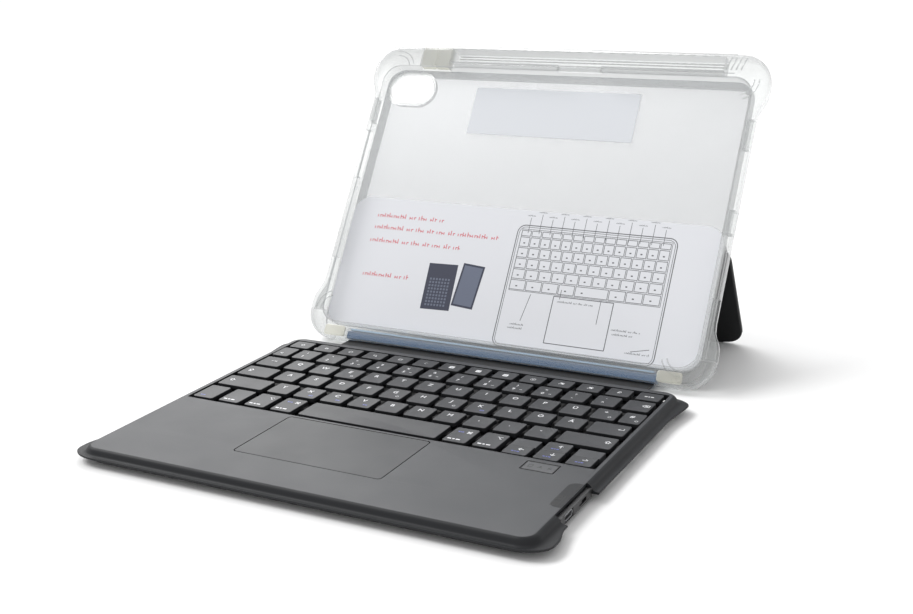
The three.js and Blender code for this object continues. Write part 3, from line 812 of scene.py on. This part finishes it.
class CASE_OT_card(bpy.types.Operator):
    """Card behind the tablet: unreadable text, a small picture and a keyboard drawing"""

    bl_idname = "case.card"
    bl_label = "Card and label"

    def execute(self, context):
        refine("info_card", "paper_card", "card", 0.06, 1)
        refine("name_label", "paper_label", "label", 0.05, 1)
        red = []
        for x, y, length in RED_LINES:
            red += word_bars(x, y, length, 2.7)
        print_on("card_red_lines", red, "red_ink", "case", "card_paper")
        print_on("card_drawing", self.drawing(), "grey_ink", "case", "card_paper")
        self.picture()
        return {"FINISHED"}

    def drawing(self):
        """Outline of the keyboard with its keys, touchpad and leader lines."""
        x0, x1, y0, y1 = DRAWING["left"], DRAWING["right"], DRAWING["low"], DRAWING["high"]
        rim = 1.2
        lines = rounded_strips(x0, y0, x1, y1, 5, 0.55)
        lines += rounded_strips(x0 + rim, y0 + rim, x1 - rim, y1 - rim, 4, 0.3)
        top = y1 - 3.5
        for row in range(len(DRAWN_KEYS)):
            high = 3.4 if row == 0 else 6.0
            count = DRAWN_KEYS[row]
            pitch = (x1 - x0 - 6) / count
            for key in range(count):
                left = x0 + 3 + key * pitch
                wide = pitch - 0.8
                if row == 5 and key == 4:
                    wide += pitch
                if row == 5 and key == 5:
                    continue
                lines += frame_strips(left, top - high, left + wide, top, 0.36)
                if row:
                    middle, level = left + pitch * 0.35, top - high * 0.62
                    lines.append(ink_strip((middle, level), (middle + 1.2, level), 0.8))
            top -= high + 0.9
        lines += frame_strips(x0 + 3, top + 0.2, x1 - 3, y1 - 2.6, 0.3)
        lines += frame_strips(x0 + 33, y0 + 5.5, x0 + 71, top - 0.6, 0.5)
        for index in range(13):
            x = x0 + 7 + index * 7.2
            rise = 6.0 + (index % 2) * 2.6
            lines.append(ink_strip((x, y1 - 5), (x, y1 + rise - 1), 0.3))
            lines += word_bars(x - 2.6, y1 + rise, 6.0, 0.9)
        for x, y, length in DRAWING_CAPTIONS:
            lines += word_bars(x0 + x, y, length, 1.2)
        for ax, ay, bx, by in DRAWING_LEADERS:
            lines.append(ink_strip((x0 + ax, ay), (x0 + bx, by), 0.35))
        return lines

    def picture(self):
        """A small picture of a keyboard and a tablet being pulled apart."""
        dark, pale = [], []
        over = CARD_TOP + INK
        for cx, cy, wide, tall, turn, keys in PICTURE:
            across = Vector((math.cos(turn), math.sin(turn)))
            along = Vector((-math.sin(turn), math.cos(turn)))
            centre = Vector((cx, cy))

            def spot(right, up):
                return centre + across * right + along * up

            low, high = spot(0, -tall / 2), spot(0, tall / 2)
            dark.append(ink_strip(low, high, wide))
            if keys:
                for row in range(9):
                    up = -tall / 2 + 3 + row * 2.1
                    for x in PICTURE_KEYS:
                        pale.append(ink_strip(spot(x, up), spot(x + 1.3, up), 1.3, over))
            else:
                low, high = spot(0, -tall / 2 + 1.3), spot(0, tall / 2 - 1.3)
                pale.append(ink_strip(low, high, wide - 2.4, over))
        print_on("card_picture", dark, "dark_ink", "case", "card_paper")
        print_on("card_picture_details", pale, "slate_ink", "case", "card_paper")


# ---- dock, hinge cloth, kickstand
CLOTH = {"side": 100.8, "thick": 0.7, "path": [(5.4, 3.0), (13.0, 3.0), (27.0, 2.62), (30.5, 2.72)]}
FOLD_Y = 14.0


class CASE_OT_dock(bpy.types.Operator):
    """Dock bar with its magnets, the steel strip above it and the hinge cloth"""

    bl_idname = "case.dock"
    bl_label = "Dock and hinge cloth"

    def execute(self, context):
        refine("dock_bar", "dock_bar_body", "dock", 0.4, 3)
        refine("bar_magnet_strip", "magnet_strip", "magnet", 0.2, 2)
        refine("dock_steel_strip", "steel_strip", "steel", 0.2, 2)
        self.hinge_cloth()
        return {"FINISHED"}

    def hinge_cloth(self):
        path = [Vector(p) for p in CLOTH["path"]]
        lengths = [(b - a).length for a, b in zip(path, path[1:])]
        total = sum(lengths)
        bpy.ops.object.select_all(action="DESELECT")
        bpy.ops.mesh.primitive_grid_add(x_subdivisions=60, y_subdivisions=36, size=2)
        cloth = bpy.context.object
        cloth.name = "hinge_cloth_strip"
        for vertex in cloth.data.vertices:
            across = vertex.co.x
            left = (vertex.co.y + 1) / 2 * total
            for index, length in enumerate(lengths):
                if left <= length or index == len(lengths) - 1:
                    break
                left -= length
            spot = path[index].lerp(path[index + 1], left / lengths[index])
            dip = 0.12 * math.exp(-((spot.x - FOLD_Y) ** 2) / 3) * (1 + 0.3 * math.sin(across * 23))
            vertex.co = Vector((across * CLOTH["side"], spot.x + KEYBOARD_ZERO, spot.y - dip)) * MM
        cloth.data.update()
        finish_modifier(cloth, "SOLIDIFY", thickness=CLOTH["thick"] * MM, offset=0.0)
        smooth(cloth)
        paint(cloth, "cloth")
        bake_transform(cloth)
        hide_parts("flap_front", "flap_rear")


class CASE_OT_kickstand(bpy.types.Operator):
    """Kickstand leg, its rubber edge, the base strip and the two hinges"""

    bl_idname = "case.kickstand"
    bl_label = "Kickstand"

    def execute(self, context):
        stand = "stand"
        steel = "steel"
        refine("kickstand_leg", "stand_leg", stand, 0.3, 3)
        refine("kickstand_foot_strip", "stand_rubber_edge", "rubber", 0.2, 2)
        refine("kickstand_base", "stand_base", stand, 0.4, 3)
        for side in ("left", "right"):
            refine(f"hinge_leaf_{side}", f"hinge_{side}", steel, 0.12, 2)
            refine(f"hinge_pin_{side}", f"pin_{side}", steel, 0.12, 2)
        return {"FINISHED"}


# ---- keyboard deck
DECK = {"side": 121.0, "front": -183.8, "rear": 5.3, "corner": 5.8, "top": 9.0}
FRONT_REACH = 4.8 / 7.0  # the front and rear edges reach out less than the sides
REAR_REACH = 3.2 / 7.0
# reach and height of each step of the rolled edge, valley, flange and inner wall, in mm
ROLL = [
    (0.7, 8.94), (1.4, 8.76), (2.1, 8.42), (2.65, 7.95), (3.05, 7.4), (3.35, 6.8),
    (3.65, 6.25), (4.1, 5.8), (4.8, 5.47), (5.7, 5.3), (6.5, 5.24), (6.82, 5.2),
    (7.0, 5.05), (7.0, 4.45), (6.85, 4.2), (6.4, 4.1), (0.9, 4.1), (0.9, 7.0),
]
LOBE = {"reach": 2.6, "front": (14.0, 27.0), "rear": (5.0, 34.0)}
WELL = {"side": 119.8, "rear": 1.6, "front": -106.4}
PAD_NODE = "touchpad_plate"
SHADED_EDGE_BELOW = 8.9  # the deck's faces below this height in mm take painted shade: a darker copy of the deck finish on the rolled edge, valley and flange
FILLER_ABOVE = 6.5  # the key plate's faces above this are the blocks beside the arrow keys
SEAM = 0.5  # gap round the touchpad and the indicator window, in mm
CUT_TOP = 11  # cutters end here, clear above the deck
CUT_SIDE = 140  # and here, clear outside it
FLANGE = {"from": 4.1, "run": 2.9}  # reach at which the flange begins, and its width
SLICES = (7, 9, 11, 13, 15, 17, 19, 21, 23, 25, 28, 31, 34)  # mm from either end of the deck
PORT = {"front": -158.9, "rear": -122.1, "inner": 121.5, "outer": 121.7, "under": 7.25}


def outward(point):
    """Direction in which the deck's rounded outline grows at a point, in mm."""
    inner_x = DECK["side"] - DECK["corner"]
    near_y, far_y = DECK["front"] + DECK["corner"], DECK["rear"] - DECK["corner"]
    x = math.copysign(max(abs(point.x) - inner_x, 0), point.x)
    y = min(point.y - near_y, 0) + max(point.y - far_y, 0)
    grown = Vector((x, y, 0))
    return grown.normalized() if grown.length > 1e-6 else grown


def lobe_share(y):
    """How far the flange's corner lobes stand out at a place along the side, 0 to 1."""
    ends = ((y - (DECK["front"] - 4.8), LOBE["front"]), (DECK["rear"] + 1.2 - y, LOBE["rear"]))
    share = 0.0
    for from_end, (full, blended) in ends:
        t = max(0.0, min(1.0, (blended - from_end) / (blended - full)))
        share = max(share, t * t * (3 - 2 * t))
    return share


class CASE_OT_deck(bpy.types.Operator):
    """Deck with its rolled edge and flange, tray, feet and the key well"""

    bl_idname = "case.deck"
    bl_label = "Deck and tray"

    def execute(self, context):
        deck = self.shell()
        self.openings(deck)
        soften(deck, 0.18, 2, 40)
        place_on_keyboard(deck)
        paint(deck, "deck")
        # painted shade: the faces of the rolled edge, valley and flange get the darker edge finish
        paint(deck, "edge", lambda middle, face: middle.z < SHADED_EDGE_BELOW)
        settle(deck, "keyboard", "deck_grey", "deck_cover")
        refine("bottom_cover", "tray", "tray", 0.4, 3)
        well = refine("key_support_plate", "key_well", "well", 0.2, 2)
        paint(well, "deck", lambda middle, face: middle.z > FILLER_ABOVE)
        for node in ("foot_rear_left", "foot_front_left", "foot_rear_right", "foot_front_right"):
            refine(node, node.replace("foot", "rubber_foot"), "rubber", 0.2, 2)
        return {"FINISHED"}

    def shell(self):
        """A closed shell: top, rolled edge, valley, flange, underside and inner wall."""
        bpy.ops.object.select_all(action="DESELECT")
        length = DECK["rear"] - DECK["front"]
        centre = Vector((0, (DECK["rear"] + DECK["front"]) / 2, DECK["top"])) * MM
        scale = (2 * DECK["side"] * MM, length * MM, 1)
        bpy.ops.mesh.primitive_plane_add(size=1, location=centre)
        deck = bpy.context.object
        deck.name = "keyboard_deck"
        deck.scale = scale
        bpy.ops.object.transform_apply(location=True, rotation=True, scale=True)
        open_edit(deck, "VERT")
        bpy.ops.mesh.select_all(action="SELECT")
        bpy.ops.mesh.bevel(offset=DECK["corner"] * MM, segments=10, affect="VERTICES")
        for end in (DECK["front"], DECK["rear"]):
            inward = 1 if end == DECK["front"] else -1
            for step in SLICES:
                bpy.ops.mesh.select_all(action="SELECT")
                spot = (0, (end + inward * step) * MM, 0)
                bpy.ops.mesh.bisect(plane_co=spot, plane_no=(0, 1, 0))
        bpy.ops.mesh.select_mode(type="EDGE")
        bpy.ops.mesh.select_all(action="SELECT")
        bpy.ops.mesh.region_to_loop()
        before, height = 0.0, DECK["top"]
        for reach, level in ROLL:
            bpy.ops.mesh.extrude_edges_move()
            mesh = bmesh.from_edit_mesh(deck.data)
            for vertex in mesh.verts:
                if not vertex.select:
                    continue
                here = vertex.co / MM
                way = outward(here)
                ends = FRONT_REACH if way.y < 0 else REAR_REACH
                step = reach - before
                moved = Vector((way.x * step, way.y * step * ends, level - height))
                out = max(reach - FLANGE["from"], 0) / FLANGE["run"]
                out -= max(before - FLANGE["from"], 0) / FLANGE["run"]
                moved.x += way.x * LOBE["reach"] * out * lobe_share(here.y)
                vertex.co += moved * MM
            bmesh.update_edit_mesh(deck.data)
            before, height = reach, level
        bpy.ops.mesh.edge_face_add()
        bpy.ops.mesh.select_all(action="SELECT")
        bpy.ops.mesh.normals_make_consistent(inside=False)
        close_edit()
        return deck

    def cutter_round(self, node, bottom, radius, steps):
        """A cutter a little wider than a CAD node, with its upright edges rounded."""
        low, high = box_mm(node)
        near = (low.x - SEAM, low.y - SEAM - KEYBOARD_ZERO, bottom)
        cutter = block("cut", near, (high.x + SEAM, high.y + SEAM - KEYBOARD_ZERO, CUT_TOP))
        round_edges(cutter, is_upright, radius, steps)
        return cutter

    def openings(self, deck):
        """Cuts the key well, the touchpad's and window's openings and the port's notch."""
        well = block("cut", (-WELL["side"], WELL["front"], 6), (WELL["side"], WELL["rear"], CUT_TOP))
        round_edges(well, is_upright, 0.8, 4)
        pad = self.cutter_round(PAD_NODE, 6, 2.3, 5)
        window = self.cutter_round("indicator_window", 8.4, 0.8, 3)
        under = block("cut", (PORT["inner"], PORT["front"], 0), (CUT_SIDE, PORT["rear"], PORT["under"]))
        notch = block("cut", (PORT["outer"], PORT["front"], 0), (CUT_SIDE, PORT["rear"], CUT_TOP))
        carve(deck, well, pad, window, under, notch)


# both ends of each stroke of two of the indicator marks, from the mark's middle
LETTER_STROKES = ((-1.1, -1.3, 0.2, 1.4), (1.1, -1.3, -0.2, 1.4), (-0.7, -0.4, 0.7, -0.4))
BOLT_STROKES = ((-0.9, 0.2, 0.5, 1.5), (0.9, -0.1, -0.7, -1.4), (-0.9, 0.2, 0.9, -0.1))


class CASE_OT_touchpad(bpy.types.Operator):
    """Touchpad plate, indicator window with its marks and the pieces inside"""

    bl_idname = "case.touchpad"
    bl_label = "Touchpad and indicators"

    def execute(self, context):
        refine(PAD_NODE, "touchpad_surface", "touchpad", 0.12, 2)
        refine("indicator_window", "indicator_panel", "window", 0.06, 1)
        self.indicator_marks()
        for node, finish in (
            ("touchpad_frame", "black"),
            ("dome_sheet", "well"),
            ("main_board", "board"),
            ("battery_left", "battery"),
            ("battery_right", "battery"),
        ):
            paint(frame["nodes"][node], finish)
        return {"FINISHED"}

    def indicator_marks(self):
        low, high = box_mm("indicator_window")
        level = high.z
        rim = 0.25
        strips = frame_strips(low.x + rim, low.y + rim, high.x - rim, high.y - rim, 0.45, level)
        for index in range(3):
            strokes = ()
            x = low.x + 3.4 + index * 4.9
            y = (low.y + high.y) / 2
            if index == 0:
                strips += frame_strips(x - 1, y - 1.4, x + 1, y + 1.4, 0.25, level)
            if index == 1:
                strokes = LETTER_STROKES
            if index == 2:
                strokes = BOLT_STROKES
            for ax, ay, bx, by in strokes:
                strips.append(ink_strip((x + ax, y + ay), (x + bx, y + by), 0.3, level))
        print_on(
            "indicator_marks", strips, "mark", "keyboard", "indicator_grey", lambda piece: None
        )


PATCH_TOP = 9.03
MARK_PLACES = (-149.6, -143.6)  # y of the two groups of bars on the patch


class CASE_OT_port(bpy.types.Operator):
    """Port bezel with the charging socket, the power slider and the smooth patch beside it"""

    bl_idname = "case.port"
    bl_label = "Port and power switch"

    def execute(self, context):
        black = "black"
        refine("port_bezel", "port_frame", black, 0.25, 2)
        refine("usb_c_socket", "charge_socket", "magnet", 0.08, 2)
        refine("power_slider", "slider", black, 0.25, 2)
        paint(frame["nodes"]["power_switch_housing"], black)
        tongue = block("socket_tongue", (118.6, -152.1, 4.65), (123.6, -145.9, 5.35))
        round_edges(tongue, lambda middle, edge: True, 0.15, 2)
        place_on_keyboard(tongue)
        paint(tongue, black)
        settle(tongue, "keyboard", "inner_black")
        patch = block("port_patch", (115.2, -151.5, 8.95), (121.4, -124.4, PATCH_TOP))
        round_edges(patch, lambda middle, edge: is_upright(middle, edge) and middle.x < 116, 4, 6)
        place_on_keyboard(patch)
        paint(patch, "port_patch")
        settle(patch, "keyboard", "deck_grey")
        strips = []
        for y in MARK_PLACES:
            y += KEYBOARD_ZERO
            for step in range(5):
                at = y + step * 0.9
                strips.append(ink_strip((116.2, at), (118.4, at), 0.35, PATCH_TOP))
            strips += frame_strips(115.7, y - 0.6, 118.9, y + 4.3, 0.22, PATCH_TOP)
        print_on("port_marks", strips, "mark", "keyboard", "deck_grey", lambda piece: None)
        return {"FINISHED"}


# ---- keycaps and legends
CAP = {"half": 5.0, "deep": 2.2, "taper": 0.25, "rim": 0.5, "dish": 0.08}
WORD_RUNS = (0.28, 0.16, 0.3)  # a word's bar is broken into these shares of its length
WORD_SPACE = 0.1
GLYPH_DEPTH = 0.004
GLYPH_WEIGHT = 0.012
GLYPH_LIFT = 0.012  # mm above the dished top
TOP_SYMBOLS = ["!", '"', "+", "$", "%", "&", "/", "(", ")", "=", "?", "`"]
LETTERS = {
    "number_row_keys": ["<", "1", "2", "3", "4", "5", "6", "7", "8", "9", "0", "-", "^"],
    "top_letter_keys": list("QWERTZUIOP") + ["Ü", "*", "#"],
    "home_letter_keys": list("ASDFGHJKL") + ["Ö", "Ä"],
    "bottom_letter_keys": list("YXCVBNM") + [",", ".", "-"],
}
FUNCTION_ICONS = ["○", "☼", "☀", "\U0001f50d", "□", "☾", "⏪"]
FUNCTION_ICONS += ["⏯", "⏩", "\U0001f507", "\U0001f509", "\U0001f50a", "\U0001f512", "word"]
WIDE_ICONS = {
    "backspace_key": ("⌫", 0.25),
    "tab_key": ("⇥", 0.0),
    "caps_lock_key": ("⇪", -0.28),
    "enter_key": ("↵", 0.3),
    "left_shift_key": ("⇧", -0.34),
    "right_shift_key": ("⇧", 0.36),
    "left_arrow_key": ("←", 0.1),
    "up_arrow_key": ("↑", 0.1),
    "down_arrow_key": ("↓", 0.1),
    "right_arrow_key": ("→", 0.1),
}
WORD_KEYS = ["fn_key", "control_key", "left_option_key", "left_command_key"]
WORD_KEYS += ["right_command_key", "right_option_key"]


class CASE_OT_keycaps(bpy.types.Operator):
    """Keycaps with their printed legends, one piece for each moving key body"""

    bl_idname = "case.keycaps"
    bl_label = "Keycaps"

    def execute(self, context):
        self.sizes = context.scene.case_sizes
        self.glyphs = {}
        self.cap = self.make_cap()
        for node in sorted(n for n in frame["nodes"] if n.endswith(("_key", "_keys"))):
            self.make_row(node)
        bpy.data.objects.remove(self.cap)
        for glyph in self.glyphs.values():
            bpy.data.objects.remove(glyph)
        return {"FINISHED"}

    def make_cap(self):
        """One small square cap: rounded corners, drawn-in top, soft edge, slight dish."""
        half = CAP["half"]
        cap = block("cap", (-half, -half, -CAP["deep"]), (half, half, 0))
        radius = self.sizes.key_radius / MM
        round_edges(cap, is_upright, radius, 4)
        for vertex in cap.data.vertices:
            if vertex.co.z > -0.1 * MM:
                vertex.co.x -= math.copysign(CAP["taper"] * MM, vertex.co.x)
                vertex.co.y -= math.copysign(CAP["taper"] * MM, vertex.co.y)
        edge = self.sizes.key_edge / MM
        round_edges(cap, lambda middle, part: middle.z > -0.01, edge, 3)
        mesh = open_edit(cap, "FACE")
        select_in(cap, mesh, mesh.faces, lambda middle, face: middle.z > -0.01 and face.normal.z > 0.9)
        bpy.ops.mesh.inset(thickness=CAP["rim"] * MM, depth=-CAP["dish"] * MM)
        close_edit()
        smooth(cap)
        return cap

    def spans(self, node):
        """Left and right sides in mm of each key in a node."""
        low, high = box_mm(node)
        pitch, gap = self.sizes.key_pitch / MM, self.sizes.key_gap / MM
        if node == "function_row_keys":
            step = (high.x - low.x + gap) / 14
            return [(low.x + i * step, low.x + (i + 1) * step - gap) for i in range(14)]
        if node not in LETTERS:
            return [(low.x, high.x)]
        start, count, spans = low.x, len(LETTERS[node]), []
        if node == "number_row_keys":
            start = high.x + gap - 12 * pitch
            spans, count = [(low.x, start - gap)], 12
        if node == "top_letter_keys":
            count = 12
        spans += [(start + i * pitch, start + (i + 1) * pitch - gap) for i in range(count)]
        if node == "top_letter_keys":
            spans.append((start + 12 * pitch, high.x))
        return spans

    def make_row(self, node):
        low, high = box_mm(node)
        caps, marks, blue = [], [], []
        for index, (left, right) in enumerate(self.spans(node)):
            cap = copy_of(self.cap, "cap")
            wide, deep = (right - left) / 2 - CAP["half"], (high.y - low.y) / 2 - CAP["half"]
            centre = Vector(((left + right) / 2, (low.y + high.y) / 2, high.z))
            for vertex in cap.data.vertices:
                vertex.co.x += math.copysign(wide * MM, vertex.co.x)
                vertex.co.y += math.copysign(deep * MM, vertex.co.y)
                vertex.co += centre * MM
            caps.append(cap)
            size = Vector((right - left, high.y - low.y))
            self.legends(node, index, centre, size, marks, blue)
        body = frame["nodes"][node]["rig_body"]
        piece = join(f"{body}_caps", caps)
        paint(piece, "keys")
        # painted shade: the caps' side faces get the darker copy of the key finish
        paint(piece, "key_side", lambda middle, face: face.normal.z < 0.3)
        settle(piece, body, "key_grey", node)
        for name, parts, finish in (("legend", marks, "legend"), ("small_legend", blue, "legend_blue")):
            if parts:
                printed = join(f"{body}_{name}", parts)
                paint(printed, finish)
                settle(printed, body, "key_grey")

    def legends(self, node, index, centre, size, marks, blue):
        """Adds the marks of one key to the white and the blue lists."""
        height = self.sizes.legend_height / MM
        x, y, z = centre.x, centre.y, centre.z - CAP["dish"]
        if node == "function_row_keys":
            icon = FUNCTION_ICONS[index]
            if icon == "word":
                marks.append(self.bar(x, y, z, 5.4, 1.0))
            else:
                marks.append(self.glyph(icon, x, y, z, height * 0.72))
        elif node == "number_row_keys":
            marks.append(self.glyph(LETTERS[node][index], x - 1.4, y - 2.6, z, height * 0.86))
            if index:
                marks.append(self.glyph(TOP_SYMBOLS[index - 1], x - 1.2, y + 2.8, z, height * 0.72))
            if index in (3, 5, 6, 8, 9, 10):
                marks.append(self.bar(x + 3.0, y - 2.6, z, 1.6, 0.5))
        elif node in LETTERS:
            letter = LETTERS[node][index]
            marks.append(self.glyph(letter, x - 0.8, y + 2.2, z, height))
            if letter in "EGJ#*":
                marks.append(self.glyph("○", x + 3.0, y - 3.2, z, height * 0.55))
            if letter in "CXVK":
                blue.append(self.bar(x + 2.6, y - 3.2, z, 2.6, 1.2))
        elif node in WIDE_ICONS:
            icon, share = WIDE_ICONS[node]
            lift = 1.0 if "arrow" in node else 0.8
            marks.append(self.glyph(icon, x + share * size.x, y + lift, z, height * 0.95))
            if "arrow" in node:
                blue.append(self.bar(x - 0.4, y - 2.0, z, 4.4, 0.8))
        elif node in WORD_KEYS:
            if node != "fn_key":
                marks.append(self.bar(x - 1.2, y - 5.6, z, 7.4, 1.1))
            if "option" in node or "command" in node:
                icon = "⌥" if "option" in node else "⌘"
                marks.append(self.glyph(icon, x + 2.6, y + 4.2, z, height * 0.8))
            if "command" in node or node == "fn_key":
                blue.append(self.bar(x - 2.0, y + (4.2 if node != "fn_key" else -5.6), z, 3.2, 1.0))

    def glyph(self, letter, x, y, z, height):
        """One printed letter or sign, centred on a place, lying on the cap."""
        if letter not in self.glyphs:
            bpy.ops.object.select_all(action="DESELECT")
            bpy.ops.object.text_add(location=(0, 0, 0))
            text = bpy.context.object
            text.data.body = letter
            text.data.size = 1.0
            text.data.align_x, text.data.align_y = "CENTER", "CENTER"
            text.data.extrude = GLYPH_DEPTH
            text.data.resolution_u = 3
            text.data.offset = GLYPH_WEIGHT
            bpy.ops.object.convert(target="MESH")
            self.glyphs[letter] = bpy.context.object
        made = copy_of(self.glyphs[letter], "glyph")
        scale = Matrix.Diagonal((height * MM, height * MM, height * MM, 1))
        made.data.transform(Matrix.Translation(Vector((x, y, z + GLYPH_LIFT)) * MM) @ scale)
        return made

    def bar(self, x, y, z, length, height):
        """A word drawn as a broken bar, so that nothing can be read."""
        parts = []
        at = x - length / 2
        for share in WORD_RUNS:
            run = share * length
            part = block("bar", (at, y - height / 2, z - 0.01), (at + run, y + height / 2, z + 0.02))
            parts.append(part)
            at += run + length * WORD_SPACE
        return join("bar", parts)


# ---- panel and running order
STEPS = (
    CASE_OT_stage,
    CASE_OT_clear_case,
    CASE_OT_buttons,
    CASE_OT_card,
    CASE_OT_dock,
    CASE_OT_kickstand,
    CASE_OT_deck,
    CASE_OT_touchpad,
    CASE_OT_port,
    CASE_OT_keycaps,
)


class CASE_PT_panel(bpy.types.Panel):
    """Lists the steps that build the case"""

    bl_label = "Tablet Keyboard Case"
    bl_space_type = "VIEW_3D"
    bl_region_type = "UI"
    bl_category = "Keyboard Case"

    def draw(self, context):
        for step in STEPS:
            self.layout.operator(step.bl_idname)
        for group in ("case_colours", "case_sizes", "case_stage"):
            settings = getattr(context.scene, group)
            for name in settings.__annotations__:
                self.layout.prop(settings, name)


CLASSES = (CaseColours, CaseSizes, StageSettings, *STEPS, CASE_PT_panel)


def register():
    for made in CLASSES:
        bpy.utils.register_class(made)
    bpy.types.Scene.case_colours = bpy.props.PointerProperty(type=CaseColours)
    bpy.types.Scene.case_sizes = bpy.props.PointerProperty(type=CaseSizes)
    bpy.types.Scene.case_stage = bpy.props.PointerProperty(type=StageSettings)


def unregister():
    del bpy.types.Scene.case_stage
    del bpy.types.Scene.case_sizes
    del bpy.types.Scene.case_colours
    for made in reversed(CLASSES):
        bpy.utils.unregister_class(made)


def main():
    register()
    for step in STEPS:
        group, name = step.bl_idname.split(".")
        getattr(getattr(bpy.ops, group), name)()


if __name__ == "__main__":
    main()
